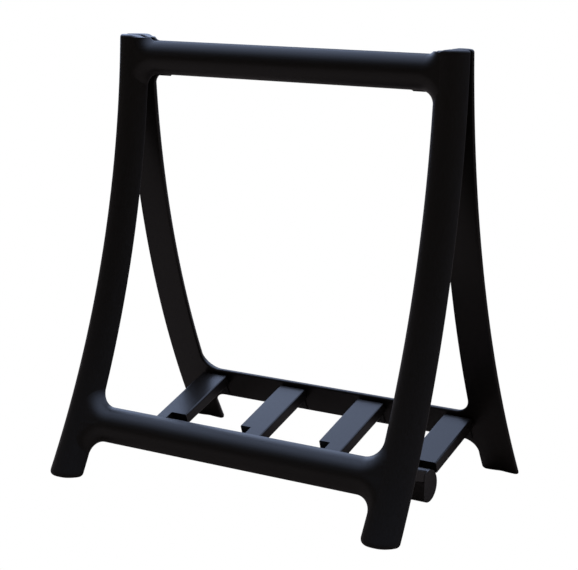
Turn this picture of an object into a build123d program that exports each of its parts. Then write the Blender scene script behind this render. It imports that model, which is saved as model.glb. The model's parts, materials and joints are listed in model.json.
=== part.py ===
"""Folding luggage rack: two bowed frames hinged under the top rails, with a slatted shelf.

Millimetres. +X runs along the rails, -Y is the front, +Z is up. The origin is on the
floor, midway between the four feet.
"""
from build123d import *
from math import asin, atan2, cos, degrees, radians, sin, sqrt, tan
import os

os.makedirs("parts", exist_ok=True)

# ---- overall sizes --------------------------------------------------------
height = 500.0            # top of the legs above the floor
leg_centres = 418.2       # between the centre lines of the two legs of a frame, at the top
leg_splay = 1.0           # a leg's centre line moves out by this down to the floor
leg_width = 41.8          # top end of a leg, on its flat side, before its edges are rounded
leg_flare = 3.6           # half a leg's width grows by this down to the floor
leg_depth = 17.0          # flat side to crown of a leg
leg_stations = 5          # sections that a leg is drawn through
arc_radius = 1096.0       # bow of the flat inner face of the legs
arc_rise = 37.6           # centre of the bow above the top of the legs
top_gap = 2.4             # inner face to the middle plane, at the top of the legs
edge_round = 2.2          # long edges of the half-round sections
end_round = 2.0           # top ends and feet of the legs

# ---- rails ----------------------------------------------------------------
top_rail_drop = 23.3      # top of the legs to the centre of the top rail
top_rail_width = 40.2
bottom_rail_z = 58.1      # centre of the bottom rail above the floor
bottom_rail_width = 43.8
rail_depth = 16.2         # flat side to crown of a rail
web_inset = 0.15          # the corner webs start this far inside the sections
flat_trim = 0.4           # rails start this far inside, and are planed to the bow of the legs
socket_backing = 2.0      # the cut for a leg in a rail's end runs this far past the flat
web_share = 0.95          # a web's crown lies no further than this share of half a leg's width
rail_end_gap = 2.5        # end of a rail, inside the cut, to the centre line of the leg
top_web_lower = 15.0      # corner radii where the rails meet the legs
top_web_upper = 4.0
bottom_web_upper = 20.0
bottom_web_lower = 18.0

# ---- shelf ----------------------------------------------------------------
shelf_slope = 18.7        # degrees, each half of the shelf falls to the middle
slat_width = 36.4
slat_thick = 14.0
slat_leg_gap = 14.1       # centre of an outer slat to the leg beside it
slat_inner_share = 0.321  # centre of an inner slat, as a share of an outer slat's
slat_end_gap = 2.4        # end of a slat to the flat of the bottom rail
slat_edge = 1.8           # rounded long edges of a slat
bar_radius = 18.6         # the bar under the middle joint
bar_floor_gap = 0.4       # bar to the floor
bar_above = 1.1           # top of the bar above the line where the two halves of the shelf meet
bar_flat = 11.4           # flat front of the bar to its axis
bar_overhang = 0.5        # bar beyond the outer slats, each end
shoulder = 19.0           # knuckle axis to the shoulders of the slats
front_nose = 21.0         # front tongues reach this far past the axis, before the bar trims them
tongue_outer = 21.0       # width of a front tongue on an outer slat
tongue_inner = 14.8       # width of a front tongue on an inner slat
tongue_gap = 0.4          # between a front and a back tongue, sideways
slot_side_gap = 0.5       # back tongue to the slot in the bar, each side
slot_round_gap = 0.5      # back tongue to the slot in the bar, around it
knuckle_pin = 4.0         # pin diameter
pin_clearance = 0.05      # running clearance round every hinge pin, on the radius
pin_short = 2.0           # a knuckle pin stops this far inside the front tongue
pin_in_bar = 5.0          # a knuckle pin reaches this far into the bar
knuckle_swing = 104.0     # degrees the slots let the back half of the shelf fold up

# ---- hinges on the bottom rails -------------------------------------------
leaf_thick = 1.4
leaf_width = 24.0
leaf_length = 16.0        # axis to the far edge of a leaf
barrel_radius = 2.6
barrel_gap = 0.2          # barrel to the wood
barrel_relief = 0.6       # barrel to the leaf edge it passes
hinge_pin = 2.6
knuckle_length = 8.0
knuckle_gap = 0.2         # between neighbouring knuckles

# ---- hinges under the top rails -------------------------------------------
top_axis_below = 1.4      # lower edge of the top rail to the hinge axis, upward
top_barrel_radius = 2.4
top_leaf_thick = 1.2
top_leaf_length = 19.0
top_hinge_leg_gap = 15.2  # centre of a top hinge to the leg beside it
top_pin = 2.4

# ---- screws ---------------------------------------------------------------
screw_head = 4.6
screw_shank = 2.2
screw_head_depth = 1.1
screw_length = 7.0
screw_point = 1.6
screw_spacing = 14.0      # between the two screws of a leaf

# ---- derived sizes --------------------------------------------------------
leg_x = leg_centres / 2
arc_centre_z = height + arc_rise
arc_base = top_gap - (arc_radius - sqrt(arc_radius**2 - arc_rise**2))
top_rail_z = height - top_rail_drop
slope = radians(shelf_slope)
half_thick = slat_thick / 2
bar_z = bar_radius + bar_floor_gap
slat_bottom_drop = half_thick / cos(slope)
knuckle_z = bar_z + bar_radius - slat_bottom_drop - bar_above
overlap = 0.1             # how far a tool reaches past the face it trims

front = -1
back = 1


def leg_centre(z):
    """Distance of a leg's centre line from the middle of the frame at height z."""
    return leg_x + leg_splay * (1 - z / height)


def leg_half(z):
    """Half of a leg's width at height z, before its edges are rounded."""
    return leg_width / 2 + leg_flare * max(0, 1 - z / height) ** 2


def inner_edge(z):
    """Distance of a leg's inner edge from the middle of the frame at height z."""
    return leg_centre(z) - leg_half(z)


slat_outer = inner_edge(bottom_rail_z) - slat_leg_gap
slat_inner = slat_outer * slat_inner_share
top_hinge_x = inner_edge(top_rail_z) - top_hinge_leg_gap
bar_half = slat_outer + slat_width / 2 + bar_overhang


def flat_offset(z):
    """Distance of the inner faces from the middle plane at height z."""
    return arc_base + arc_radius - sqrt(arc_radius**2 - (arc_centre_z - z) ** 2)


def tilt_at(z):
    """Lean of the inner faces from the vertical at height z, in radians."""
    return asin((arc_centre_z - z) / arc_radius)


def along_slat(side, length, lift):
    """(y, z) of a point on a shelf half: length from the knuckle axis, lift off the mid plane."""
    y = side * (length * cos(slope) - lift * sin(slope))
    z = knuckle_z + length * sin(slope) + lift * cos(slope)
    return (y, z)


def on_rail(side, z, out, up):
    """(y, z) of a point set out from the flat of the rail whose centre is at height z."""
    tilt = tilt_at(z)
    y = side * (flat_offset(z) + out * cos(tilt) - up * sin(tilt))
    return (y, z + out * sin(tilt) + up * cos(tilt))


def meet(lift, inset):
    """Length along a shelf half where it meets a line set inset from the bottom rail's flat."""
    tilt = tilt_at(bottom_rail_z)
    reach = flat_offset(bottom_rail_z) - inset * cos(tilt) + lift * sin(slope)
    rise = knuckle_z + lift * cos(slope) - (bottom_rail_z - inset * sin(tilt))
    return (reach * cos(tilt) - rise * sin(tilt)) / cos(slope - tilt)


rail_axis_drop = half_thick + barrel_radius + barrel_gap
rail_axis_length = meet(-rail_axis_drop, barrel_radius + barrel_gap)
rail_axis = along_slat(back, rail_axis_length, -rail_axis_drop)
rail_axis_up = (rail_axis[1] - bottom_rail_z) * cos(tilt_at(bottom_rail_z))
rail_axis_up = rail_axis_up - (rail_axis[0] - flat_offset(bottom_rail_z)) * sin(tilt_at(bottom_rail_z))
top_axis_z = top_rail_z - top_rail_width / 2 + top_axis_below

# centre of each slat, and the side of it that carries the front tongue
slats = [
    ("left", -slat_outer, 1, tongue_outer),
    ("mid_left", -slat_inner, -1, tongue_inner),
    ("mid_right", slat_inner, -1, tongue_inner),
    ("right", slat_outer, 1, tongue_outer),
]


def front_tongue(centre, hand, width):
    """X range of the front tongue of a slat."""
    edge = centre + hand * slat_width / 2
    return sorted((edge, edge - hand * width))


def back_tongue(centre, hand, width):
    """X range of the back tongue of a slat."""
    edge = centre - hand * slat_width / 2
    return sorted((edge, edge + hand * (slat_width - width - tongue_gap)))


def pin_range(centre, hand):
    """X range of a knuckle pin, from inside the front tongue into the bar."""
    limit = bar_half - pin_short
    outer = centre + hand * (slat_width / 2 - pin_short)
    inner = centre - hand * (slat_width / 2 + slot_side_gap + pin_in_bar)
    return sorted((max(-limit, min(limit, outer)), max(-limit, min(limit, inner))))


def slot_range(centre, hand, width):
    """X range of the slot in the bar that lets the back tongue of a slat swing."""
    low, high = back_tongue(centre, hand, width)
    if hand > 0:
        low, high = low - slot_side_gap, high + tongue_gap
    else:
        low, high = low - tongue_gap, high + slot_side_gap
    if abs(low) > bar_half - 2 * pin_short:
        low = -bar_half - overlap
    return (low, high)


def half_round(width, depth, edge):
    """Half-round outline: flat on the local Y axis, crown towards local +X."""
    with BuildLine() as outline:
        Line((0, -width / 2), (0, width / 2))
        ThreePointArc((0, width / 2), (depth, 0), (0, -width / 2))
    make_face(outline.edges())
    fillet(vertices(), edge)


def bowed(side, hand, backing):
    """A leg drawn through its sections along the bow, square-edged where backing extends it inwards."""
    first = tilt_at(height + leg_depth / 2)
    last = tilt_at(-leg_depth)
    sections = []
    for step in range(leg_stations):
        turn = first + (last - first) * step / (leg_stations - 1)
        z = arc_centre_z - arc_radius * sin(turn)
        y = side * (arc_base + arc_radius - arc_radius * cos(turn))
        half = leg_half(z)
        seat = Plane(
            origin=(hand * leg_centre(z), y, z), x_dir=(0, side * cos(turn), sin(turn)),
            z_dir=(0, side * sin(turn), -cos(turn)),
        )
        with BuildSketch(seat, mode=Mode.PRIVATE) as outline:
            with BuildLine():
                if backing:
                    Polyline((0, -half), (-backing, -half), (-backing, half), (0, half))
                else:
                    Line((0, -half), (0, half))
                ThreePointArc((0, half), (leg_depth, 0), (0, -half))
            make_face()
            if not backing:
                fillet(outline.vertices(), edge_round)
        sections.append(outline.sketch.face())
    loft(sections)


def web(side, z, half, hand, level, radius):
    """Corner web of a rail: the inner half of its section carried round the corner radius."""
    tilt = tilt_at(z)
    out = Vector(0, side * cos(tilt), sin(tilt))
    up = Vector(0, -side * sin(tilt), cos(tilt))
    tip = inner_edge(z + level * (half + radius) * cos(tilt))
    middle = Vector(hand * (tip - radius), side * flat_offset(z), z)
    middle = middle + up * (level * (half + radius))
    near = radius + web_inset
    reach = radius + min(half, web_share * leg_width / 2)
    crown = rail_depth - web_inset
    round_radius = ((reach - near) ** 2 + crown**2) / (2 * crown)
    sunk = crown - round_radius
    start = atan2(-sunk, near - reach)
    mid = (start + radians(90)) / 2
    bend = (reach + round_radius * cos(mid), sunk + round_radius * sin(mid))
    section = Plane(origin=middle, x_dir=up * -level, z_dir=(level * side, 0, 0))
    with BuildSketch(section, mode=Mode.PRIVATE) as outline:
        with BuildLine():
            Polyline((near, 0), (near, -flat_trim), (reach, -flat_trim), (reach, crown))
            ThreePointArc((reach, crown), bend, (near, 0))
        make_face()
    turn = Axis(middle, out * (-level * hand * side))
    revolve(outline.sketch, axis=turn, revolution_arc=90)


def screw_at(plane):
    """A countersunk screw, head flush with the plane and driven along its -Z."""
    with Locations(plane.location):
        with Locations((0, 0, -screw_head_depth / 2)):
            Cone(screw_shank / 2, screw_head / 2, screw_head_depth)
        straight = screw_length - screw_head_depth - screw_point
        with Locations((0, 0, -screw_head_depth - straight / 2)):
            Cylinder(screw_shank / 2, straight)
        with Locations((0, 0, -screw_length + screw_point / 2)):
            Cone(0.2, screw_shank / 2, screw_point)


def slat_screw_planes(side):
    """Screw seats on the four shelf leaves of one side."""
    planes = []
    for name, centre, hand, width in slats:
        length = rail_axis_length - (leaf_length + barrel_radius) / 2
        y, z = along_slat(side, length, -half_thick - leaf_thick)
        for step in (-1, 1):
            origin = (centre + step * screw_spacing / 2, y, z)
            down = (0, side * sin(slope), -cos(slope))
            planes.append(Plane(origin=origin, x_dir=(1, 0, 0), z_dir=down))
    return planes


def rail_screw_planes(side):
    """Screw seats on the four rail leaves of one side."""
    tilt = tilt_at(bottom_rail_z)
    planes = []
    for name, centre, hand, width in slats:
        up = rail_axis_up - (leaf_length + barrel_radius) / 2
        y, z = on_rail(side, bottom_rail_z, -leaf_thick, up)
        for step in (-1, 1):
            origin = (centre + step * screw_spacing / 2, y, z)
            inward = (0, -side * cos(tilt), -sin(tilt))
            planes.append(Plane(origin=origin, x_dir=(1, 0, 0), z_dir=inward))
    return planes


def top_leaf_up(side):
    """Height of the top hinge axis along the flat, from the centre of the top rail."""
    return (top_axis_z - top_rail_z) / cos(tilt_at(top_rail_z))


def top_screw_planes(side):
    """Screw seats on the two top leaves of one side."""
    tilt = tilt_at(top_rail_z)
    planes = []
    for hand in (-1, 1):
        up = top_leaf_up(side) + (top_leaf_length + top_barrel_radius) / 2
        y, z = on_rail(side, top_rail_z, -top_leaf_thick, up)
        for step in (-1, 1):
            origin = (hand * top_hinge_x + step * screw_spacing / 2, y, z)
            inward = (0, -side * cos(tilt), -sin(tilt))
            planes.append(Plane(origin=origin, x_dir=(1, 0, 0), z_dir=inward))
    return planes


def block(points, x_low, x_high, mode=Mode.ADD):
    """A prism along X between two positions, with (y, z) corners."""
    with BuildSketch(Plane.YZ.offset(x_low), mode=Mode.PRIVATE) as outline:
        with BuildLine():
            Polyline(*points, close=True)
        make_face()
    extrude(outline.sketch, amount=x_high - x_low, mode=mode)


def rod(y, z, radius, x_low, x_high, mode=Mode.ADD):
    """A round rod along X between two positions."""
    with BuildSketch(Plane.YZ.offset(x_low), mode=Mode.PRIVATE) as outline:
        with Locations((y, z)):
            Circle(radius)
    extrude(outline.sketch, amount=x_high - x_low, mode=mode)


# ---- screws ---------------------------------------------------------------
sides = (("front", front), ("back", back))
screws = {}
for side_name, side in sides:
    with BuildPart() as slat_screws:
        for seat in slat_screw_planes(side):
            screw_at(seat)
    slat_screws.part.label = "shelf_screws_" + side_name
    export_step(slat_screws.part, "parts/shelf_screws_" + side_name + ".step")
    screws["shelf_" + side_name] = slat_screws.part

    with BuildPart() as rail_screws:
        for seat in rail_screw_planes(side):
            screw_at(seat)
    rail_screws.part.label = "rail_screws_" + side_name
    export_step(rail_screws.part, "parts/rail_screws_" + side_name + ".step")
    screws["rail_" + side_name] = rail_screws.part

    with BuildPart() as top_screws:
        for seat in top_screw_planes(side):
            screw_at(seat)
    top_screws.part.label = "top_screws_" + side_name
    export_step(top_screws.part, "parts/top_screws_" + side_name + ".step")
    screws["top_" + side_name] = top_screws.part

# ---- frames: two legs and two rails each ----------------------------------
for side_name, side in sides:
    sockets = []
    for hand_name, hand in (("left", -1), ("right", 1)):
        with BuildPart() as leg:
            bowed(side, hand, 0)
            Box(
                4 * leg_centres, 4 * leg_centres, height,
                align=(Align.CENTER, Align.CENTER, Align.MIN), mode=Mode.INTERSECT,
            )
            ends = leg.faces().sort_by(Axis.Z)
            fillet(ends[0].edges() + ends[-1].edges(), end_round)
        leg_name = "leg_" + side_name + "_" + hand_name
        leg.part.label = leg_name
        export_step(leg.part, "parts/" + leg_name + ".step")
        with BuildPart() as socket:
            bowed(side, hand, socket_backing)
        sockets.append(socket.part)

    rail_sizes = (
        ("top_rail_", top_rail_z, top_rail_width, top_web_lower, top_web_upper, "top_"),
        ("bottom_rail_", bottom_rail_z, bottom_rail_width, bottom_web_lower, bottom_web_upper, "rail_"),
    )
    for rail_word, z, width, web_low, web_high, screw_word in rail_sizes:
        tilt = tilt_at(z)
        with BuildPart() as rail:
            seat = (0, *on_rail(side, z, -flat_trim, 0))
            across = Plane(origin=seat, x_dir=(0, side * cos(tilt), sin(tilt)), z_dir=(1, 0, 0))
            with BuildSketch(across):
                half_round(width, rail_depth + flat_trim, edge_round)
            extrude(amount=leg_centre(z) - rail_end_gap, both=True)
            for hand in (-1, 1):
                web(side, z, width / 2, hand, -1, web_low)
                web(side, z, width / 2, hand, 1, web_high)
            with Locations(Location((0, side * (arc_base + arc_radius), arc_centre_z), (0, 90, 0))):
                Cylinder(arc_radius, 2 * leg_centres, mode=Mode.INTERSECT)
            Box(
                4 * leg_centres, 4 * leg_centres, height - end_round,
                align=(Align.CENTER, Align.CENTER, Align.MIN), mode=Mode.INTERSECT,
            )
            for socket_part in sockets:
                add(socket_part, mode=Mode.SUBTRACT)
            add(screws[screw_word + side_name], mode=Mode.SUBTRACT)
        rail_name = rail_word + side_name
        rail.part.label = rail_name
        export_step(rail.part, "parts/" + rail_name + ".step")

        # leaves screwed to the flat of the rail
        if rail_word == "bottom_rail_":
            axis_y, axis_z = side * rail_axis[0], rail_axis[1]
            for name, centre, hand, tongue in slats:
                with BuildPart() as leaf:
                    low = rail_axis_up - leaf_length
                    high = rail_axis_up - barrel_radius - barrel_relief
                    plate = [
                        on_rail(side, z, overlap, low), on_rail(side, z, -leaf_thick, low),
                        on_rail(side, z, -leaf_thick, high), on_rail(side, z, overlap, high),
                    ]
                    block(plate, centre - leaf_width / 2, centre + leaf_width / 2)
                    strap = [
                        on_rail(side, z, overlap, high - overlap),
                        on_rail(side, z, -leaf_thick, high - overlap),
                        on_rail(side, z, -leaf_thick, rail_axis_up),
                        on_rail(side, z, overlap, rail_axis_up),
                    ]
                    for hand_of in (-1, 1):
                        inner = centre + hand_of * (leaf_width / 2 - knuckle_length)
                        outer = centre + hand_of * leaf_width / 2
                        block(strap, min(inner, outer), max(inner, outer))
                        rod(axis_y, axis_z, barrel_radius, min(inner, outer), max(inner, outer))
                    rod(
                        axis_y, axis_z, hinge_pin / 2, centre - leaf_width, centre + leaf_width,
                        mode=Mode.SUBTRACT,
                    )
                    add(rail.part, mode=Mode.SUBTRACT)
                    add(screws["rail_" + side_name], mode=Mode.SUBTRACT)
                leaf_name = "rail_leaf_" + side_name + "_" + name
                leaf.part.label = leaf_name
                export_step(leaf.part, "parts/" + leaf_name + ".step")

            with BuildPart() as rail_pins:
                for name, centre, hand, tongue in slats:
                    rod(axis_y, axis_z, hinge_pin / 2, centre - leaf_width / 2, centre + leaf_width / 2)
            rail_pins.part.label = "rail_pins_" + side_name
            export_step(rail_pins.part, "parts/rail_pins_" + side_name + ".step")

        if rail_word == "top_rail_":
            for hand_name, hand in (("left", -1), ("right", 1)):
                centre = hand * top_hinge_x
                axis_up = top_leaf_up(side)
                with BuildPart() as top_leaf:
                    low = axis_up + top_barrel_radius + barrel_relief
                    high = axis_up + top_leaf_length
                    plate = [
                        on_rail(side, z, overlap, low), on_rail(side, z, -top_leaf_thick, low),
                        on_rail(side, z, -top_leaf_thick, high), on_rail(side, z, overlap, high),
                    ]
                    block(plate, centre - leaf_width / 2, centre + leaf_width / 2)
                    strap = [
                        on_rail(side, z, overlap, low + overlap),
                        on_rail(side, z, -top_leaf_thick, low + overlap),
                        (0, top_axis_z + top_pin / 2), (0, top_axis_z - top_barrel_radius / 2),
                        on_rail(side, z, -barrel_gap, axis_up - top_barrel_radius / 2),
                    ]
                    if side == front:
                        spans = [
                            (centre - leaf_width / 2, centre - leaf_width / 2 + knuckle_length),
                            (centre + leaf_width / 2 - knuckle_length, centre + leaf_width / 2),
                        ]
                    else:
                        half_span = leaf_width / 2 - knuckle_length - knuckle_gap
                        spans = [(centre - half_span, centre + half_span)]
                    for x_low, x_high in spans:
                        block(strap, x_low, x_high)
                        rod(0, top_axis_z, top_barrel_radius, x_low, x_high)
                    bore = top_pin / 2
                    if side == back:
                        bore = top_pin / 2 + pin_clearance
                    rod(0, top_axis_z, bore, centre - leaf_width, centre + leaf_width, mode=Mode.SUBTRACT)
                    if side == back:
                        mouth = [
                            (overlap, top_axis_z - bore), (overlap, top_axis_z + bore),
                            (-leaf_width, top_axis_z + leaf_width),
                            (-leaf_width, top_axis_z - leaf_width),
                        ]
                        block(mouth, centre - leaf_width, centre + leaf_width, mode=Mode.SUBTRACT)
                    add(rail.part, mode=Mode.SUBTRACT)
                    add(screws["top_" + side_name], mode=Mode.SUBTRACT)
                leaf_name = "top_leaf_" + side_name + "_" + hand_name
                top_leaf.part.label = leaf_name
                export_step(top_leaf.part, "parts/" + leaf_name + ".step")

with BuildPart() as top_pins:
    for hand in (-1, 1):
        centre = hand * top_hinge_x
        rod(0, top_axis_z, top_pin / 2, centre - leaf_width / 2, centre + leaf_width / 2)
top_pins.part.label = "top_pins"
export_step(top_pins.part, "parts/top_pins.step")

# ---- shelf: slats, tongues and leaves -------------------------------------
front_slats = []
for side_name, side in sides:
    for name, centre, hand, tongue in slats:
        if side == front:
            low, high = front_tongue(centre, hand, tongue)
        else:
            low, high = back_tongue(centre, hand, tongue)
        with BuildPart() as slat:
            top_end = meet(half_thick, slat_end_gap)
            bottom_end = meet(-half_thick, slat_end_gap)
            body = [
                along_slat(side, 0, half_thick), along_slat(side, top_end, half_thick),
                along_slat(side, bottom_end, -half_thick), along_slat(side, 0, -half_thick),
            ]
            edge_low, edge_high = centre - slat_width / 2, centre + slat_width / 2
            block(body, edge_low, edge_high)
            grain = Vector(0, side * cos(slope), sin(slope))
            long_edges = [e for e in slat.edges() if abs(abs(e.tangent_at(0).dot(grain)) - 1) < 0.001]
            fillet(long_edges, slat_edge)
            notch = [
                along_slat(side, -shoulder, slat_thick), along_slat(side, shoulder, slat_thick),
                along_slat(side, shoulder, -slat_thick), along_slat(side, -shoulder, -slat_thick),
            ]
            if high < edge_high - overlap:
                block(notch, high, edge_high + overlap, mode=Mode.SUBTRACT)
            else:
                block(notch, edge_low - overlap, low, mode=Mode.SUBTRACT)
            if side == front:
                nose = [
                    along_slat(side, overlap, half_thick), along_slat(side, -front_nose, half_thick),
                    along_slat(side, -front_nose, -half_thick), along_slat(side, overlap, -half_thick),
                ]
                with BuildSketch(Plane.YZ.offset(low)):
                    with BuildLine():
                        Polyline(*nose, close=True)
                    make_face()
                    with Locations((0, bar_z)):
                        Circle(bar_radius, mode=Mode.INTERSECT)
                extrude(amount=high - low)
                bore_low, bore_high = pin_range(centre, hand)
                rod(0, knuckle_z, knuckle_pin / 2, bore_low, bore_high, mode=Mode.SUBTRACT)
            else:
                rod(0, knuckle_z, half_thick, low, high)
                bore = knuckle_pin / 2 + pin_clearance
                rod(0, knuckle_z, bore, low - overlap, high + overlap, mode=Mode.SUBTRACT)
            add(screws["shelf_" + side_name], mode=Mode.SUBTRACT)
        slat_name = "slat_" + side_name + "_" + name
        slat.part.label = slat_name
        export_step(slat.part, "parts/" + slat_name + ".step")
        if side == front:
            front_slats.append(slat.part)

        with BuildPart() as shelf_leaf:
            near = rail_axis_length - leaf_length
            far = rail_axis_length - barrel_radius - barrel_relief
            plate = [
                along_slat(side, near, -half_thick), along_slat(side, far, -half_thick),
                along_slat(side, far, -half_thick - leaf_thick),
                along_slat(side, near, -half_thick - leaf_thick),
            ]
            block(plate, centre - leaf_width / 2, centre + leaf_width / 2)
            strap = [
                along_slat(side, far - overlap, -half_thick),
                along_slat(side, rail_axis_length - barrel_radius / 2, -half_thick),
                along_slat(side, rail_axis_length, -half_thick - barrel_gap),
                along_slat(side, rail_axis_length, -half_thick - leaf_thick),
                along_slat(side, far - overlap, -half_thick - leaf_thick),
            ]
            half_span = leaf_width / 2 - knuckle_length - knuckle_gap
            block(strap, centre - half_span, centre + half_span)
            axis_y, axis_z = side * rail_axis[0], rail_axis[1]
            rod(axis_y, axis_z, barrel_radius, centre - half_span, centre + half_span)
            rod(
                axis_y, axis_z, hinge_pin / 2 + pin_clearance, centre - leaf_width,
                centre + leaf_width, mode=Mode.SUBTRACT,
            )
            add(screws["shelf_" + side_name], mode=Mode.SUBTRACT)
        leaf_name = "shelf_leaf_" + side_name + "_" + name
        shelf_leaf.part.label = leaf_name
        export_step(shelf_leaf.part, "parts/" + leaf_name + ".step")

# ---- bar and knuckle pins -------------------------------------------------
with BuildPart() as knuckle_pins:
    for name, centre, hand, tongue in slats:
        low, high = pin_range(centre, hand)
        rod(0, knuckle_z, knuckle_pin / 2, low, high)
knuckle_pins.part.label = "knuckle_pins"
export_step(knuckle_pins.part, "parts/knuckle_pins.step")

with BuildPart() as bar:
    with BuildSketch(Plane.YZ.offset(-bar_half)):
        with Locations((0, bar_z)):
            Circle(bar_radius)
        with Locations((-bar_flat - bar_radius, bar_z)):
            Rectangle(2 * bar_radius, 4 * bar_radius, mode=Mode.SUBTRACT)
    extrude(amount=2 * bar_half)
    for slat_part in front_slats:
        add(slat_part, mode=Mode.SUBTRACT)
    slot_radius = half_thick + slot_round_gap
    reach = 4 * bar_radius
    swung = radians(knuckle_swing) + slope
    far = (reach * cos(swung), knuckle_z + reach * sin(swung))
    past = (-slot_radius * sin(swung), slot_radius * cos(swung))
    slot = [
        along_slat(back, 0, -slot_radius), along_slat(back, reach, -slot_radius),
        (reach, knuckle_z + reach), (far[0] + past[0], far[1] + past[1]),
        (past[0], knuckle_z + past[1]),
    ]
    for name, centre, hand, tongue in slats:
        low, high = slot_range(centre, hand, tongue)
        rod(0, knuckle_z, slot_radius, low, high, mode=Mode.SUBTRACT)
        block(slot, low, high, mode=Mode.SUBTRACT)
    add(knuckle_pins.part, mode=Mode.SUBTRACT)
bar.part.label = "bar"
export_step(bar.part, "parts/bar.step")
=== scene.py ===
"""Looks of the folding rack: satin black painted wood, dark hinges, soft studio light.

Metres. +X runs along the rails, -Y is the front, +Z is up, the origin is on the floor
midway between the feet. The CAD part is the fixed frame. The legs and rails are drawn
again as smooth surfaces whose corners run into each other without a seam.
"""

import json
import logging
import math
from dataclasses import dataclass, field
from enum import Enum

import bmesh
import bpy
import numpy as np
from mathutils import Matrix, Vector

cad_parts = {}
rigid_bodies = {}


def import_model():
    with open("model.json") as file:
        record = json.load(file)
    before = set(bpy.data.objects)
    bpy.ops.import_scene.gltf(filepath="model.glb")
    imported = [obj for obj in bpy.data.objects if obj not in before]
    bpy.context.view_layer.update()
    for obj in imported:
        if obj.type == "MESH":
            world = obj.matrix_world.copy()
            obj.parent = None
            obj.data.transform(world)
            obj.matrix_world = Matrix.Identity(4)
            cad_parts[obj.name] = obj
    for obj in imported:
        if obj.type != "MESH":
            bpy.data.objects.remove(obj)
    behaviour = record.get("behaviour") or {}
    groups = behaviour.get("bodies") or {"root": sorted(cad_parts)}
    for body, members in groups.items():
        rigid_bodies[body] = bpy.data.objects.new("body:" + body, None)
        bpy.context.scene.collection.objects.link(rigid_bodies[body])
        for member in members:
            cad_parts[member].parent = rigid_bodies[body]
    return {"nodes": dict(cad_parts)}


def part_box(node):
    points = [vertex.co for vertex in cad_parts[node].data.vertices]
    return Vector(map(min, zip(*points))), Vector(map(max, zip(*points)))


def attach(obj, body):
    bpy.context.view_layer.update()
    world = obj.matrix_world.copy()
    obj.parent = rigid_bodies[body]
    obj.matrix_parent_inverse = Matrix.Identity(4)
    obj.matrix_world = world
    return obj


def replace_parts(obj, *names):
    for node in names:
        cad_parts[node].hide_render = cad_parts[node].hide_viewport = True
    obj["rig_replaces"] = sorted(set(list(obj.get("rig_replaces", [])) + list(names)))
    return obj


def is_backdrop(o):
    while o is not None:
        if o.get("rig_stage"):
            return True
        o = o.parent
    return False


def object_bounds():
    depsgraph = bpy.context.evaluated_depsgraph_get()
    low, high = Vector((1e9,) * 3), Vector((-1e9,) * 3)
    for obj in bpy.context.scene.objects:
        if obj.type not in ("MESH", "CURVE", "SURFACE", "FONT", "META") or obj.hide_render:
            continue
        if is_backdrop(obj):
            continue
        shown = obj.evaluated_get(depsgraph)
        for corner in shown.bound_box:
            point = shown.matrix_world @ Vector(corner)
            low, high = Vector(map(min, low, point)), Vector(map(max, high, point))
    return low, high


LOG = logging.getLogger("rack")
MM = 0.001
MERGE = 1e-7          # points closer than this become one
EDGE_POINTS = 12      # round a rounded long edge
CROWN_POINTS = 30     # from that edge to the crown of a leg
TABLE_POINTS = 64     # on the crown, where a section is looked up as a table


# ---- colour and node helpers ------------------------------------------------
def linear(hex_colour: str) -> tuple[float, float, float, float]:
    """Turn an sRGB hex colour into a linear one.

    Args:
        hex_colour: A colour such as "#141416".

    Returns:
        Linear red, green and blue, with alpha 1.
    """
    digits = hex_colour.lstrip("#")
    parts = [int(digits[i : i + 2], 16) / 255 for i in (0, 2, 4)]
    values = [c / 12.92 if c <= 0.04045 else ((c + 0.055) / 1.055) ** 2.4 for c in parts]
    return (values[0], values[1], values[2], 1.0)


def add_node(
    tree: bpy.types.NodeTree, kind: str, inputs: dict | None = None, **settings: object
) -> bpy.types.Node:
    """Add a shader node, set its properties, and fill or link its inputs.

    Args:
        tree: The node tree to add to.
        kind: The node's Blender type name.
        inputs: Input name or index to a value, or to an output socket to link.
        settings: Properties set on the node itself.

    Returns:
        The new node.
    """
    node = tree.nodes.new(kind)
    for name, value in settings.items():
        setattr(node, name, value)
    for key, value in (inputs or {}).items():
        if isinstance(value, bpy.types.NodeSocket):
            tree.links.new(value, node.inputs[key])
        else:
            node.inputs[key].default_value = value
    return node


class Grain(Enum):
    """Which way the wood's grain runs in a piece."""

    ALONG_X = (0.02, 1.0, 1.0)
    ALONG_Y = (1.0, 0.02, 1.0)
    ALONG_Z = (1.0, 1.0, 0.02)


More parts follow.
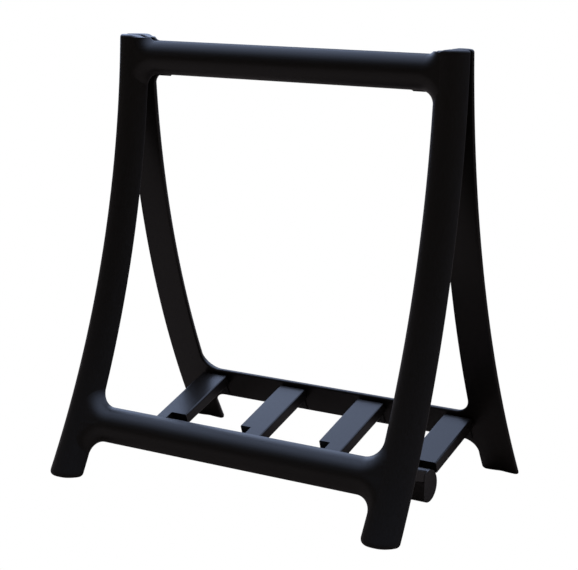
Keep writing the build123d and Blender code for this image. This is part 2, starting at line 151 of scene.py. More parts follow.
# ---- finishes -----------------------------------------------------------------
@dataclass(frozen=True)
class PaintedWood:
    """Satin black paint, brushed on planed close-grained wood such as beech.

    To the eye it is nearly black and soft in its shine. The pores show faintly along the
    grain, the skin of the paint is slightly uneven, and a painted highlight makes the corners a little paler.
    """

    name: str
    grain: Grain
    base: str = "#16110b"
    variation: str = "#1b150f"
    # paler colour of the painted highlight on the corners
    edge_highlight: str = "#2d2926"
    roughness: float = 0.36
    sheen_down: float = 0.05
    sheen_up: float = 0.07
    pore_mm: float = 0.9
    skin_mm: float = 2.2
    drift_mm: float = 60.0
    bump_mm: float = 0.05
    skin_strength: float = 0.25
    pore_strength: float = 0.35
    # pointiness where the painted highlight on the corners starts and is full, and its greatest share
    highlight_start: float = 0.53
    highlight_full: float = 0.62
    highlight_share: float = 0.55

    def build(self) -> bpy.types.Material:
        """Make the material.

        Returns:
            The finished material.
        """
        material, tree, shader = new_material(self.name)
        place = add_node(tree, "ShaderNodeTexCoord").outputs["Object"]
        grain_place = add_node(tree, "ShaderNodeMapping", {"Vector": place, "Scale": self.grain.value})
        pores = add_node(
            tree, "ShaderNodeTexNoise",
            {
                "Vector": grain_place.outputs[0], "Scale": 1 / (self.pore_mm * MM),
                "Detail": 3.0, "Roughness": 0.6,
            },
        )
        skin = add_node(
            tree, "ShaderNodeTexNoise", {"Vector": place, "Scale": 1 / (self.skin_mm * MM), "Detail": 2.0}
        )
        sheen = add_node(
            tree, "ShaderNodeMapRange",
            {
                "Value": pores.outputs[0], "From Min": 0.3, "From Max": 0.7,
                "To Min": self.roughness - self.sheen_down, "To Max": self.roughness + self.sheen_up,
            },
        )
        skin_bump = add_node(
            tree, "ShaderNodeBump",
            {"Strength": self.skin_strength, "Distance": self.bump_mm * MM, "Height": skin.outputs[0]},
        )
        pore_bump = add_node(
            tree, "ShaderNodeBump",
            {
                "Strength": self.pore_strength, "Distance": self.bump_mm * MM,
                "Height": pores.outputs[0], "Normal": skin_bump.outputs[0],
            },
        )
        colour = self.colour(tree, place, skin.outputs[0])
        link_shader(tree, shader, colour, sheen.outputs[0], pore_bump.outputs[0])
        return material

    def colour(
        self, tree: bpy.types.NodeTree, place: bpy.types.NodeSocket, skin: bpy.types.NodeSocket
    ) -> bpy.types.NodeSocket:
        """Mix the paint's colour: a slow drift of tone, and a painted highlight that makes the corners paler
        in patches.

        Args:
            tree: The material's node tree.
            place: Output with the place on the object.
            skin: Output with the pattern of the paint's skin, which breaks up the painted highlight on the
                corners.

        Returns:
            The output with the colour.
        """
        drift = add_node(
            tree, "ShaderNodeTexNoise", {"Vector": place, "Scale": 1 / (self.drift_mm * MM), "Detail": 2.0}
        )
        tone = add_node(
            tree, "ShaderNodeMix",
            {"Factor": drift.outputs[0], 6: linear(self.base), 7: linear(self.variation)},
            data_type="RGBA",
        )
        # painted highlight: corners, found by their pointiness, are mixed towards a paler colour in patches
        edges = add_node(tree, "ShaderNodeNewGeometry").outputs["Pointiness"]
        highlight_mask = add_node(
            tree, "ShaderNodeMapRange",
            {
                "Value": edges, "From Min": self.highlight_start, "From Max": self.highlight_full,
                "To Min": 0.0, "To Max": self.highlight_share,
            },
        )
        broken = add_node(tree, "ShaderNodeMath", {0: highlight_mask.outputs[0], 1: skin}, operation="MULTIPLY")
        mixed = add_node(
            tree, "ShaderNodeMix",
            {"Factor": broken.outputs[0], 6: tone.outputs[2], 7: linear(self.edge_highlight)},
            data_type="RGBA",
        )
        return mixed.outputs[2]


@dataclass(frozen=True)
class DarkMetal:
    """Dark steel: lacquered black and satin on the hinge leaves, bare on pins and screws.

    The lacquer takes the metal's shine away. Bare steel keeps it, with fine drawn lines along
    the pins. Both are blotchy at about the size of a hinge leaf.
    """

    name: str
    base: str = "#141312"
    variation: str = "#1b1a19"
    metallic: float = 0.0
    roughness: float = 0.44
    sheen_down: float = 0.08
    sheen_up: float = 0.1
    line_mm: float = 0.25
    blotch_mm: float = 7.0
    bump_mm: float = 0.02
    bump_strength: float = 0.2
    brush: tuple[float, float, float] = (0.05, 1.0, 1.0)

    def build(self) -> bpy.types.Material:
        """Make the material.

        Returns:
            The finished material.
        """
        material, tree, shader = new_material(self.name)
        place = add_node(tree, "ShaderNodeTexCoord").outputs["Object"]
        brushed = add_node(tree, "ShaderNodeMapping", {"Vector": place, "Scale": self.brush})
        lines = add_node(
            tree, "ShaderNodeTexNoise",
            {"Vector": brushed.outputs[0], "Scale": 1 / (self.line_mm * MM), "Detail": 2.0},
        )
        blotch = add_node(
            tree, "ShaderNodeTexNoise", {"Vector": place, "Scale": 1 / (self.blotch_mm * MM), "Detail": 3.0}
        )
        colour = add_node(
            tree, "ShaderNodeMix",
            {"Factor": blotch.outputs[0], 6: linear(self.base), 7: linear(self.variation)},
            data_type="RGBA",
        )
        sheen = add_node(
            tree, "ShaderNodeMapRange",
            {
                "Value": lines.outputs[0],
                "To Min": self.roughness - self.sheen_down, "To Max": self.roughness + self.sheen_up,
            },
        )
        bump = add_node(
            tree, "ShaderNodeBump",
            {"Strength": self.bump_strength, "Distance": self.bump_mm * MM, "Height": lines.outputs[0]},
        )
        link_shader(tree, shader, colour.outputs[2], sheen.outputs[0], bump.outputs[0])
        shader.inputs["Metallic"].default_value = self.metallic
        return material


def new_material(name: str) -> tuple[bpy.types.Material, bpy.types.NodeTree, bpy.types.Node]:
    """Start an empty material with a principled shader.

    Args:
        name: The material's name.

    Returns:
        The material, its node tree and its shader node.
    """
    material = bpy.data.materials.new(name)
    material.use_nodes = True
    tree = material.node_tree
    tree.nodes.clear()
    shader = add_node(tree, "ShaderNodeBsdfPrincipled")
    add_node(tree, "ShaderNodeOutputMaterial", {"Surface": shader.outputs[0]})
    return material, tree, shader


def link_shader(
    tree: bpy.types.NodeTree,
    shader: bpy.types.Node,
    colour: bpy.types.NodeSocket,
    roughness: bpy.types.NodeSocket,
    normal: bpy.types.NodeSocket,
) -> None:
    """Link the three outputs that every finish varies.

    Args:
        tree: The node tree.
        shader: The principled shader.
        colour: Output with the base colour.
        roughness: Output with the roughness.
        normal: Output with the bumped normal.
    """
    tree.links.new(colour, shader.inputs["Base Color"])
    tree.links.new(roughness, shader.inputs["Roughness"])
    tree.links.new(normal, shader.inputs["Normal"])


# ---- surfaces -------------------------------------------------------------------
def grid_faces(rings: int, points: int) -> np.ndarray:
    """Quads of a tube of rings, each closed on itself.

    Args:
        rings: Number of rings.
        points: Points in each ring.

    Returns:
        An array of vertex indices, four to a face.
    """
    ring = np.arange(rings - 1)[:, None] * points
    here = np.arange(points)[None, :]
    after = (here + 1) % points
    quads = np.stack([ring + here, ring + after, ring + points + after, ring + points + here], axis=-1)
    return quads.reshape(-1, 4)


def make_object(name: str, verts: np.ndarray, quads: np.ndarray) -> bpy.types.Object:
    """Make a smooth mesh object at the origin, its place held in its vertices.

    Args:
        name: The object's name.
        verts: Vertex positions in metres.
        quads: Quads as vertex indices.

    Returns:
        The new object, its coinciding points merged and its faces turned outwards.
    """
    mesh = bpy.data.meshes.new(name)
    mesh.vertices.add(len(verts))
    mesh.vertices.foreach_set("co", np.ascontiguousarray(verts, dtype=np.float32).ravel())
    mesh.loops.add(quads.size)
    mesh.loops.foreach_set("vertex_index", np.ascontiguousarray(quads, dtype=np.int32).ravel())
    mesh.polygons.add(len(quads))
    mesh.polygons.foreach_set("loop_start", np.arange(0, quads.size, 4, dtype=np.int32))
    mesh.update(calc_edges=True)
    tidy = bmesh.new()
    tidy.from_mesh(mesh)
    bmesh.ops.remove_doubles(tidy, verts=tidy.verts[:], dist=MERGE)
    bmesh.ops.recalc_face_normals(tidy, faces=tidy.faces[:])
    tidy.to_mesh(mesh)
    tidy.free()
    mesh.polygons.foreach_set("use_smooth", np.ones(len(mesh.polygons), dtype=bool))
    mesh.update()
    obj = bpy.data.objects.new(name, mesh)
    bpy.context.scene.collection.objects.link(obj)
    return obj


def eased(share: np.ndarray) -> np.ndarray:
    """Smooth step from 0 to 1: three times the square less twice the cube.

    Args:
        share: Values, held to 0 to 1.

    Returns:
        The eased values.
    """
    held = np.clip(share, 0, 1)
    return held * held * (3 - 2 * held)


def half_profile(
    half: np.ndarray | float, depth: float, edge: float, count: int
) -> tuple[np.ndarray, np.ndarray]:
    """Half of a half-round outline, from the flat round the long edge to the crown.

    The crown is an arc through both long edges, as high as the depth. The long edge is a small
    arc that touches the flat and the crown's arc.

    Args:
        half: Half width before the edges are rounded, one value or one for each ring.
        depth: Flat to crown.
        edge: Radius of the rounded long edges.
        count: Points on the crowned part.

    Returns:
        Distance from the centre line and height above the flat, a row for each half width.
    """
    half = np.atleast_1d(half)[:, None]
    radius = (half**2 + depth**2) / (2 * depth)
    sunk = depth - radius
    edge_w = np.sqrt((radius - edge) ** 2 - (edge - sunk) ** 2)
    lean = np.arctan2(edge - sunk, edge_w)
    turn = -math.pi / 2 + (lean + math.pi / 2) * np.linspace(0, 1, EDGE_POINTS)
    sweep = lean + (math.pi / 2 - lean) * np.linspace(0, 1, count)[1:]
    wide = np.concatenate([edge_w + edge * np.cos(turn), radius * np.cos(sweep)], axis=1)
    high = np.concatenate([edge + edge * np.sin(turn), sunk + radius * np.sin(sweep)], axis=1)
    return wide, high


def outermost(half: np.ndarray | float, depth: float, edge: float) -> np.ndarray:
    """Half width of a half-round section over its rounded long edges.

    Args:
        half: Half width before the edges are rounded.
        depth: Flat to crown.
        edge: Radius of the rounded long edges.

    Returns:
        The half width in metres.
    """
    radius = (half**2 + depth**2) / (2 * depth)
    return edge + np.sqrt((radius - edge) ** 2 - (edge + radius - depth) ** 2)


@dataclass(frozen=True)
class Bow:
    """The cylinder that the flat faces of one frame lie on, its axis along the rails."""

    side: int
    radius: float
    centre_y: float
    centre_z: float

    def place(self, x: np.ndarray, angle: np.ndarray, depth: np.ndarray) -> np.ndarray:
        """Put points on the bow.

        Args:
            x: Place along the rails.
            angle: Angle down from the level of the bow's centre, in radians.
            depth: Height above the flat face, towards the centre of the bow.

        Returns:
            Positions, with a last axis of three.
        """
        reach = self.radius - depth
        y = self.side * (self.centre_y - reach * np.cos(angle))
        z = self.centre_z - reach * np.sin(angle)
        return np.stack(np.broadcast_arrays(x, y, z), axis=-1)

    def angle_at(self, z: np.ndarray | float, depth: np.ndarray | float = 0.0) -> np.ndarray:
        """Angle of a point at a height above the floor.

        Args:
            z: Height above the floor.
            depth: Height above the flat face.

        Returns:
            The angle in radians.
        """
        return np.arcsin((self.centre_z - z) / (self.radius - depth))

    def height_at(self, angle: np.ndarray) -> np.ndarray:
        """Height above the floor of the flat face at an angle.

        Args:
            angle: Angle in radians.

        Returns:
            The height in metres.
        """
        return self.centre_z - self.radius * np.sin(angle)


@dataclass(frozen=True)
class LegShape:
    """Half-round section of a leg, which widens and splays a little down to the foot."""

    top: float
    centre: float
    splay: float = 1.0 * MM
    half: float = 20.9 * MM
    flare: float = 3.6 * MM
    depth: float = 17.0 * MM
    edge: float = 2.2 * MM

    def centre_at(self, z: np.ndarray) -> np.ndarray:
        """Distance of the centre line from the middle of the frame.

        Args:
            z: Height above the floor.

        Returns:
            The distance in metres.
        """
        return self.centre + self.splay * (1 - z / self.top)

    def half_at(self, z: np.ndarray) -> np.ndarray:
        """Half width at a height, before the edges are rounded.

        It grows by the flare times the square of the share of the way down.

        Args:
            z: Height above the floor.

        Returns:
            The half width in metres.
        """
        return self.half + self.flare * np.clip(1 - z / self.top, 0, 1) ** 2

    def inner_at(self, z: np.ndarray) -> np.ndarray:
        """Distance of the inner edge from the middle of the frame.

        Args:
            z: Height above the floor.

        Returns:
            The distance in metres.
        """
        return self.centre_at(z) - outermost(self.half_at(z), self.depth, self.edge)


@dataclass
class Leg:
    """One bowed leg: its section carried down the bow, from the top to the floor.

    Both ends are rounded over and closed. The top falls by the shoulder on its inner side, where
    it runs level into the rail's web.
    """

    node: str
    body: str
    bow: Bow
    shape: LegShape
    hand: int
    top_round: float = 3.0 * MM
    foot_round: float = 4.5 * MM
    crest: float = 2.3 * MM
    shoulder: float = 3.0 * MM
    shoulder_start: float = 0.1
    shoulder_width: float = 0.65
    squared: float = 0.85
    core: float = 0.45
    rings: int = 150
    round_rings: int = 8
    flat_points: int = 8
    cap_rings: tuple[float, ...] = (0.2, 0.45, 0.75, 1.0)

    def build(self) -> bpy.types.Object:
        """Make the leg's surface.

        Returns:
            The new object, standing for its CAD node.
        """
        down, inset, drawn = self.stations()
        wide, high = self.section(self.shape.top - down)
        middle = self.shape.depth * self.core
        shrink = (1 - inset[:, None] / np.hypot(wide, high - middle)) * (1 - drawn[:, None])
        across = wide * shrink
        depth = middle + (high - middle) * shrink
        angle = self.angle_of(down[:, None], across, depth)
        x = self.hand * self.shape.centre_at(self.bow.height_at(angle)) + across
        verts = self.bow.place(x, angle, depth)
        obj = make_object(self.node + "_surface", verts.reshape(-1, 3), grid_faces(*across.shape))
        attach(obj, self.body)
        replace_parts(obj, self.node)
        return obj

    def stations(self) -> tuple[np.ndarray, np.ndarray, np.ndarray]:
        """Where the rings lie, and how far they are drawn in at the ends.

        A rounded end is a quarter circle of rings. The cap's rings then shrink to a point.

        Returns:
            For each ring the distance down from the top, the distance in from the full section,
            and the share by which a cap's ring has shrunk.
        """
        length = self.shape.top
        turn = np.linspace(0, math.pi / 2, self.round_rings)
        gap, rounded = 1 - np.sin(turn), 1 - np.cos(turn)
        cap = np.array(self.cap_rings)
        full = np.ones(len(cap))
        straight = np.linspace(self.top_round, length - self.foot_round, self.rings)[1:-1]
        plain = np.zeros(len(straight))
        top_down, foot_down = self.top_round * gap[::-1], length - self.foot_round * gap
        top_inset, foot_inset = self.top_round * rounded[::-1], self.foot_round * rounded
        down = np.concatenate([0 * cap, top_down, straight, foot_down, length * full])
        inset = np.concatenate(
            [self.top_round * full, top_inset, plain, foot_inset, self.foot_round * full]
        )
        drawn = np.concatenate([cap[::-1], 0 * turn, plain, 0 * turn, cap])
        return down, inset, drawn

    def section(self, level: np.ndarray) -> tuple[np.ndarray, np.ndarray]:
        """Full outline of the leg, once round: along the flat, round an edge, over the crown.

        Args:
            level: Heights above the floor.

        Returns:
            Distance from the centre line and height above the flat, a row for each level.
        """
        wide, high = half_profile(self.shape.half_at(level), self.shape.depth, self.shape.edge, CROWN_POINTS)
        flat = wide[:, :1] * np.linspace(0, 1, self.flat_points)[:-1]
        half_w = np.concatenate([flat, wide], axis=1)
        half_h = np.concatenate([0 * flat, high], axis=1)
        loop_w = np.concatenate([half_w, -half_w[:, ::-1][:, 1:-1]], axis=1)
        loop_h = np.concatenate([half_h, half_h[:, ::-1][:, 1:-1]], axis=1)
        return loop_w, loop_h

    def angle_of(self, down: np.ndarray, across: np.ndarray, depth: np.ndarray) -> np.ndarray:
        """Angle on the bow: the rings share out the way from the shaped top to the floor.

        On the shoulder, the rounding of the top end is nearly squared off.

        Args:
            down: Distance down from the top, in a column.
            across: Distance from the leg's centre line.
            depth: Height above the flat face.

        Returns:
            The angle of each point in radians.
        """
        length = self.shape.top
        inward = -self.hand * across / self.shape.half
        share = eased((inward - self.shoulder_start) / self.shoulder_width)
        near = self.bow.angle_at(length + self.crest - self.shoulder * share, depth)
        down = down - self.squared * share * np.minimum(down, self.top_round) * (1 - down / length)
        return near + (self.bow.angle_at(0, depth) - near) * (down / length)


@dataclass
class Rail:
    """One rail, its section carried along X from leg to leg.

    Round the corners of the window it widens into webs, each bounded by a quarter circle and
    cut off at the upper limit. It plunges into both legs and is closed inside them.
    """

    node: str
    body: str
    bow: Bow
    leg: LegShape
    half: float
    centre_z: float
    radius_up: float
    radius_down: float
    limit_up: float = math.inf
    depth: float = 15.6 * MM
    edge: float = 2.2 * MM
    proud: float = 0.03 * MM
    lift: float = 0.25 * MM
    lift_start: float = 0.7
    sink: float = 0.15 * MM
    plain_rings: int = 16
    web_rings: int = 32
    leg_rings: int = 26
    points: int = 81

    def build(self) -> bpy.types.Object:
        """Make the rail's surface.

        Returns:
            The new object, standing for its CAD node.
        """
        inner = float(self.leg.inner_at(np.array(self.centre_z)))
        sunk = float(self.leg.half_at(np.array(self.centre_z)))
        q = self.stations(inner, sunk)
        ring_t, ring_h = self.rings(q, sunk)
        # two more rings close the end inside the leg, round a core a third of the way up
        core = self.depth / 3
        closing = [(ring_t[-1:] * keep, core + (ring_h[-1:] - core) * keep) for keep in (0.5, 0.0)]
        ring_t = np.concatenate([ring_t] + [t for t, h in closing])
        ring_h = np.concatenate([ring_h] + [h for t, h in closing])
        q = np.concatenate([q, q[-1:], q[-1:]])
        angle = self.bow.angle_at(self.centre_z) - ring_t / self.bow.radius
        x = self.leg.inner_at(self.bow.height_at(angle)) * (1 - q / inner)
        left = self.bow.place(-x[::-1], angle[::-1], ring_h[::-1])
        right = self.bow.place(x[1:], angle[1:], ring_h[1:])
        verts = np.concatenate([left, right], axis=0)
        obj = make_object(self.node + "_surface", verts.reshape(-1, 3), grid_faces(*verts.shape[:2]))
        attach(obj, self.body)
        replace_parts(obj, self.node)
        return obj

    def stations(self, inner: float, sunk: float) -> np.ndarray:
        """Where the rings of the right half lie, closest together at the leg's inner edge.

        Args:
            inner: Distance of the leg's inner edge from the middle of the frame.
            sunk: How far the rail runs on inside the leg.

        Returns:
            A column of distances from that edge, positive over the window, negative inside the leg.
        """
        widest = max(self.radius_up, self.radius_down)
        fan = widest * (1 - np.sin(np.linspace(0, math.pi / 2, self.web_rings)))
        plain = np.linspace(inner, widest, self.plain_rings)[:-1]
        inside = -sunk * np.linspace(0, 1, self.leg_rings)[1:]
        return np.concatenate([plain, fan, inside])[:, None]

    def rings(self, q: np.ndarray, sunk: float) -> tuple[np.ndarray, np.ndarray]:
        """Outlines of the rail: over the crowned side from edge to edge, and back under the flat.

        Args:
            q: Distance from the leg's inner edge, in a column.
            sunk: How far the rail runs on inside the leg.

        Returns:
            Distance from the rail's middle line, upwards, and height above the flat, a row for
            each q.
        """
        up = np.minimum(self.reach(q, self.radius_up), self.limit_up)
        down = self.reach(q, self.radius_down)
        spread = np.sin(np.linspace(-math.pi / 2, math.pi / 2, self.points))[None, :]
        across = (up + down) / 2 * spread + (up - down) / 2
        crown = self.crown(q, across)
        inward = np.minimum(self.inward(q, across, self.radius_up), self.inward(q, -across, self.radius_down))
        # the flat side lies a hair proud of the leg's, and rises into the leg before its end
        rise = eased((-q / sunk - self.lift_start) / (1 - self.lift_start))
        under = self.underside(inward) - self.proud + self.lift * rise
        ring_t = np.concatenate([across, across[:, ::-1][:, 1:-1]], axis=1)
        ring_h = np.concatenate([crown, under[:, ::-1][:, 1:-1]], axis=1)
        return ring_t, ring_h

    def reach(self, q: np.ndarray, radius: float) -> np.ndarray:
        """Distance from the rail's middle line to its edge, which curves away at the corner.

        Args:
            q: Distance from the leg's inner edge.
            radius: Corner radius.

        Returns:
            The distance for each q.
        """
        outside = outermost(self.half, self.depth, self.edge)
        inside = np.clip((radius - q) / radius, 0, 1)
        return outside + radius - radius * np.sqrt(1 - inside**2)

    def inward(self, q: np.ndarray, t: np.ndarray, radius: float) -> np.ndarray:
        """Distance in from the rounded corner of the window.

        Args:
            q: Distance from the leg's inner edge.
            t: Distance from the rail's middle line, towards the window.
            radius: Corner radius.

        Returns:
            The distance from the nearest edge of that window.
        """
        edge = outermost(self.half, self.depth, self.edge)
        corner = np.hypot(q - radius, t - edge - radius) - radius
        return np.where(q >= radius, edge - t, np.where(t >= edge + radius, -q, corner))

    def crown(self, q: np.ndarray, across: np.ndarray) -> np.ndarray:
        """Height of the crowned side: the lower of the two heights that its edges give it.

        At the far ends of the webs it fades to a little below the leg's own surface.

        Args:
            q: Distance from the leg's inner edge.
            across: Distance from the rail's middle line, upwards.

        Returns:
            Height above the flat.
        """
        heights = []
        for t, radius in ((across, self.radius_up), (-across, self.radius_down)):
            inward = np.maximum(self.inward(q, t, radius), 0)
            as_rail = self.crowned(inward, self.half, self.depth)
            as_leg = self.crowned(inward, self.leg.half, self.leg.depth) - self.sink
            fade = eased((t - self.half) / radius)
            heights.append(as_rail + (np.minimum(as_leg, as_rail) - as_rail) * fade)
        return np.minimum(heights[0], heights[1])

    def crowned(self, inward: np.ndarray, half: float, depth: float) -> np.ndarray:
        """Height of a half-round section at a distance in from its outline.

        Args:
            inward: Distance in from the outermost point.
            half: Half width of the section.
            depth: Depth of the section.

        Returns:
            Height above the flat, the crown's beyond the centre line.
        """
        wide, high = (row[0] for row in half_profile(half, depth, self.edge, TABLE_POINTS))
        top = slice(int(np.argmax(wide)), None)
        return np.interp(inward, wide.max() - wide[top], high[top])

    def underside(self, inward: np.ndarray) -> np.ndarray:
        """Height of the flat side, which rises only round the rounded edge.

        Args:
            inward: Distance in from the outermost point.

        Returns:
            Height above the flat.
        """
        wide, high = (row[0] for row in half_profile(self.half, self.depth, self.edge, TABLE_POINTS))
        low = slice(0, int(np.argmax(wide)) + 1)
        return np.interp(inward, (wide.max() - wide[low])[::-1], high[low][::-1])


# ---- assemblies ------------------------------------------------------------------
@dataclass
class WoodenFrame:
    """One frame: two legs and two rails on the same bow."""

    word: str
    side: int
    radius: float = 1096.0 * MM
    rise: float = 37.6 * MM
    gap: float = 2.4 * MM
    top_drop: float = 23.3 * MM
    top_half: float = 20.1 * MM
    bottom_z: float = 58.1 * MM
    bottom_half: float = 21.9 * MM
    top_web: float = 15.0 * MM
    top_web_up: float = 10.0 * MM
    bottom_web_up: float = 20.0 * MM
    bottom_web_down: float = 18.0 * MM
    objects: list[bpy.types.Object] = field(default_factory=list)

    def build(self, across: bpy.types.Material, upright: bpy.types.Material) -> list[bpy.types.Object]:
        """Make the frame's four surfaces.

        Args:
            across: Finish of the rails, grain along X.
            upright: Finish of the legs, grain up the leg.

        Returns:
            The new objects.
        """
        body = self.word + "_frame"
        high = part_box(f"leg_{self.word}_right")[1]
        foot = outermost(LegShape.half + LegShape.flare, LegShape.depth, LegShape.edge)
        shape = LegShape(high.z, high.x - foot - LegShape.splay)
        centre_y = self.gap + math.sqrt(self.radius**2 - self.rise**2)
        bow = Bow(self.side, self.radius, centre_y, high.z + self.rise)
        for word, hand in (("left", -1), ("right", 1)):
            leg = Leg(f"leg_{self.word}_{word}", body, bow, shape, hand)
            self.add(leg.build(), upright)
        top_z = high.z - self.top_drop
        rails = (
            Rail(
                "top_rail_" + self.word, body, bow, shape, self.top_half, top_z,
                self.top_web_up, self.top_web, self.top_drop + Leg.crest - Leg.shoulder,
            ),
            Rail(
                "bottom_rail_" + self.word, body, bow, shape, self.bottom_half, self.bottom_z,
                self.bottom_web_up, self.bottom_web_down,
            ),
        )
        for rail in rails:
            self.add(rail.build(), across)
        return self.objects

    def add(self, obj: bpy.types.Object, finish: bpy.types.Material) -> None:
        """Keep a piece and give it its finish.

        Args:
            obj: The piece.
            finish: Its material.
        """
        obj.data.materials.clear()
        obj.data.materials.append(finish)
        self.objects.append(obj)
        LOG.info("made %s with %s", obj.name, finish.name)


@dataclass
class CadPiece:
    """A CAD node kept as it is, with a new finish."""

    node: bpy.types.Object
    finish: bpy.types.Material

    def dress(self) -> None:
        """Put the finish on every face of the node."""
        self.node.data.materials.clear()
        self.node.data.materials.append(self.finish)
        LOG.info("kept %s with %s", self.node.name, self.finish.name)


# ---- studio ----------------------------------------------------------------------
@dataclass(frozen=True)
class StudioCamera:
    """The camera of the main view, set round the middle of the rack."""

    azimuth: float = 32.4937
    elevation: float = 11.9313
    roll: float = -0.3101
    distance: float = 1.925514
    aim_right: float = 3.779 * MM
    aim_down: float = 24.381 * MM
    lens: float = 104.891
    film: float = 36.0
    near: float = 0.05
    far: float = 50.0

    def build(self, middle: Vector) -> bpy.types.Object:
        """Make the camera and set it as the scene's.

        Args:
            middle: Middle of the rack.

        Returns:
            The camera object.
        """
        az, el, roll = (math.radians(v) for v in (self.azimuth, self.elevation, self.roll))
        forward = Vector((-math.sin(az) * math.cos(el), math.cos(az) * math.cos(el), -math.sin(el)))
        level = Vector((math.cos(az), math.sin(az), 0))
        down = forward.cross(level)
        right = level * math.cos(roll) + down * math.sin(roll)
        under = down * math.cos(roll) - level * math.sin(roll)
        aim = middle + right * self.aim_right + under * self.aim_down
        data = bpy.data.cameras.new("camera")
        data.lens = self.lens
        data.sensor_width = self.film
        data.sensor_fit = "HORIZONTAL"
        data.clip_start, data.clip_end = self.near, self.far
        camera = bpy.data.objects.new("camera", data)
        turn = Matrix((right, -under, -forward)).transposed().to_4x4()
        camera.matrix_world = Matrix.Translation(aim - forward * self.distance) @ turn
        bpy.context.scene.collection.objects.link(camera)
        bpy.context.scene.camera = camera
        return camera


@dataclass(frozen=True)
class SoftLight:
    """A square studio light aimed at the rack."""

    name: str
    place: tuple[float, float, float]
    size: float
    power: float
    colour: str = "#ffffff"

    def build(self, target: Vector) -> bpy.types.Object:
        """Make the light.

        Args:
            target: The point it is turned to.

        Returns:
            The light object.
        """
        data = bpy.data.lights.new(self.name, "AREA")
        data.shape = "SQUARE"
        data.size = self.size
        data.energy = self.power
        data.color = linear(self.colour)[:3]
        light = bpy.data.objects.new(self.name, data)
        light.location = self.place
        light.rotation_mode = "QUATERNION"
        light.rotation_quaternion = (target - Vector(self.place)).to_track_quat("-Z", "Y")
        bpy.context.scene.collection.objects.link(light)
        return light


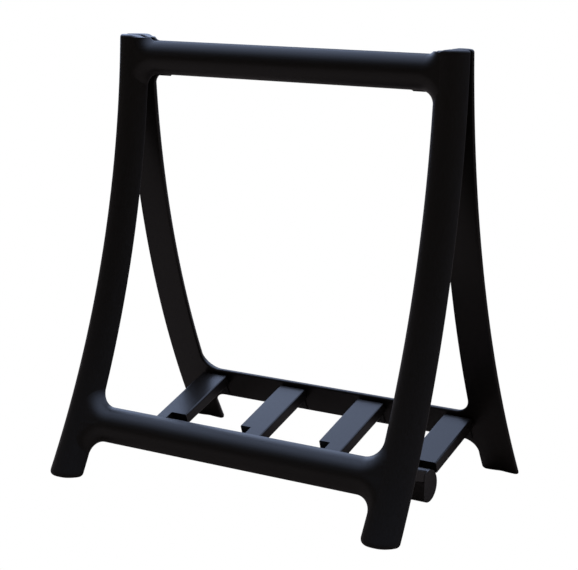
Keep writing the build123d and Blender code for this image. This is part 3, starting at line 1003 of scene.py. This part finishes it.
@dataclass(frozen=True)
class Studio:
    """Floor, surroundings and lights: a bluish sky overhead and behind, a dim room in front."""

    floor_size: float = 6.0
    floor_drop: float = 0.5 * MM
    floor_colour: str = "#8f7c6a"
    floor_fibre: str = "#9b8876"
    fibre_mm: float = 3.0
    sky: str = "#c2d6ff"
    sky_level: float = 1.75
    sky_way: tuple[float, float, float] = (0.0, 0.5, 0.87)
    sky_edge: float = 0.15
    sky_middle: float = 0.95
    horizon_low: float = -0.02
    horizon_high: float = 0.35
    room: str = "#5c5753"
    room_level: float = 0.4
    window_place: tuple[float, float, float] = (-1.1, 0.85, 0.8)
    window_size: float = 0.9
    window_power: float = 3.0

    def build(self, middle: Vector) -> None:
        """Make the floor, the surroundings and the lights.

        Args:
            middle: Middle of the rack.
        """
        self.floor()
        self.surroundings()
        window = SoftLight("window", self.window_place, self.window_size, self.window_power, self.sky)
        window.build(middle)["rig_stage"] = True
        LOG.info("lit %s", window.name)

    def floor(self) -> None:
        """A pale floor: white to the camera, warm to everything that it lights from below."""
        half = self.floor_size / 2
        corners = np.array([(-half, -half, 0), (half, -half, 0), (half, half, 0), (-half, half, 0)])
        plane = make_object("floor", corners - (0, 0, self.floor_drop), np.array([[0, 1, 2, 3]]))
        material = bpy.data.materials.new("pale paper floor")
        material.use_nodes = True
        tree = material.node_tree
        tree.nodes.clear()
        seen = add_node(tree, "ShaderNodeLightPath").outputs["Is Camera Ray"]
        fibre = add_node(tree, "ShaderNodeTexNoise", {"Scale": 1 / (self.fibre_mm * MM), "Detail": 3.0})
        tone = add_node(
            tree, "ShaderNodeMix",
            {"Factor": fibre.outputs[0], 6: linear(self.floor_colour), 7: linear(self.floor_fibre)},
            data_type="RGBA",
        )
        paper = add_node(tree, "ShaderNodeBsdfDiffuse", {"Color": tone.outputs[2]})
        white = add_node(tree, "ShaderNodeEmission", {"Color": (1, 1, 1, 1), "Strength": 1.0})
        mix = add_node(tree, "ShaderNodeMixShader", {0: seen, 1: paper.outputs[0], 2: white.outputs[0]})
        add_node(tree, "ShaderNodeOutputMaterial", {"Surface": mix.outputs[0]})
        plane.data.materials.append(material)
        plane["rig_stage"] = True

    def surroundings(self) -> None:
        """White behind the rack for the camera, and a sky that leans to the back for the lighting.

        The sky's level is the product of two smooth steps: one on how far a direction leans to
        the middle of the sky, one on its rise over the horizon. The room adds an even, dim level.
        """
        world = bpy.data.worlds.new("studio")
        bpy.context.scene.world = world
        world.use_nodes = True
        tree = world.node_tree
        tree.nodes.clear()
        way = add_node(tree, "ShaderNodeTexCoord").outputs["Generated"]
        rise = add_node(tree, "ShaderNodeSeparateXYZ", {0: way}).outputs["Z"]
        lean = add_node(tree, "ShaderNodeVectorMath", {0: way, 1: self.sky_way}, operation="DOT_PRODUCT")
        overhead = add_node(
            tree, "ShaderNodeMapRange",
            {"Value": lean.outputs["Value"], "From Min": self.sky_edge, "From Max": self.sky_middle},
            interpolation_type="SMOOTHSTEP",
        )
        horizon = add_node(
            tree, "ShaderNodeMapRange",
            {"Value": rise, "From Min": self.horizon_low, "From Max": self.horizon_high},
            interpolation_type="SMOOTHSTEP",
        )
        share = add_node(
            tree, "ShaderNodeMath", {0: overhead.outputs[0], 1: horizon.outputs[0]}, operation="MULTIPLY"
        )
        level = add_node(
            tree, "ShaderNodeMath", {0: share.outputs[0], 1: self.sky_level}, operation="MULTIPLY"
        )
        sky = add_node(tree, "ShaderNodeBackground", {"Color": linear(self.sky), "Strength": level.outputs[0]})
        room = add_node(
            tree, "ShaderNodeBackground", {"Color": linear(self.room), "Strength": self.room_level}
        )
        light = add_node(tree, "ShaderNodeAddShader", {0: sky.outputs[0], 1: room.outputs[0]})
        white = add_node(tree, "ShaderNodeBackground", {"Color": (1, 1, 1, 1), "Strength": 1.0})
        seen = add_node(tree, "ShaderNodeLightPath").outputs["Is Camera Ray"]
        mix = add_node(tree, "ShaderNodeMixShader", {0: seen, 1: light.outputs[0], 2: white.outputs[0]})
        add_node(tree, "ShaderNodeOutputWorld", {"Surface": mix.outputs[0]})


def finish_for(name: str, finishes: dict[str, bpy.types.Material]) -> bpy.types.Material:
    """Pick the finish of a CAD node from its name.

    Args:
        name: The node's name.
        finishes: Every finish by its short word.

    Returns:
        The material.
    """
    words = (
        ("slat_", "slat"), ("bar", "rail"),
        ("rail_pins", "pin"), ("top_pins", "pin"), ("knuckle_pins", "pin"),
    )
    for start, word in words:
        if name.startswith(start):
            return finishes[word]
    return finishes["screw"] if "screws" in name else finishes["hinge"]


def main() -> None:
    """Load the frame, draw and dress every piece, and set up the studio."""
    logging.basicConfig(level=logging.INFO, format="%(message)s")
    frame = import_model()
    before = [list(corner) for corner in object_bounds()]
    middle = (Vector(before[0]) + Vector(before[1])) / 2
    finishes = {
        "upright": PaintedWood("satin black paint, leg", Grain.ALONG_Z).build(),
        "rail": PaintedWood("satin black paint, rail", Grain.ALONG_X).build(),
        "slat": PaintedWood("satin black paint, slat", Grain.ALONG_Y, roughness=0.34).build(),
        "hinge": DarkMetal("black lacquered steel").build(),
        "pin": DarkMetal("dark drawn steel", base="#3a3a3d", variation="#4b4b4f", metallic=1.0).build(),
        "screw": DarkMetal("blackened screw steel", base="#2b2b2e", variation="#3a3a3d", metallic=1.0).build(),
    }
    replaced = []
    for word, side in (("front", -1), ("back", 1)):
        made = WoodenFrame(word, side).build(finishes["rail"], finishes["upright"])
        replaced += [name for obj in made for name in obj["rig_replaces"]]
    for name, node in sorted(frame["nodes"].items()):
        if name not in replaced:
            CadPiece(node, finish_for(name, finishes)).dress()
    Studio().build(middle)
    StudioCamera().build(middle)
    bpy.context.scene.view_settings.view_transform = "Standard"


if __name__ == "__main__":
    main()
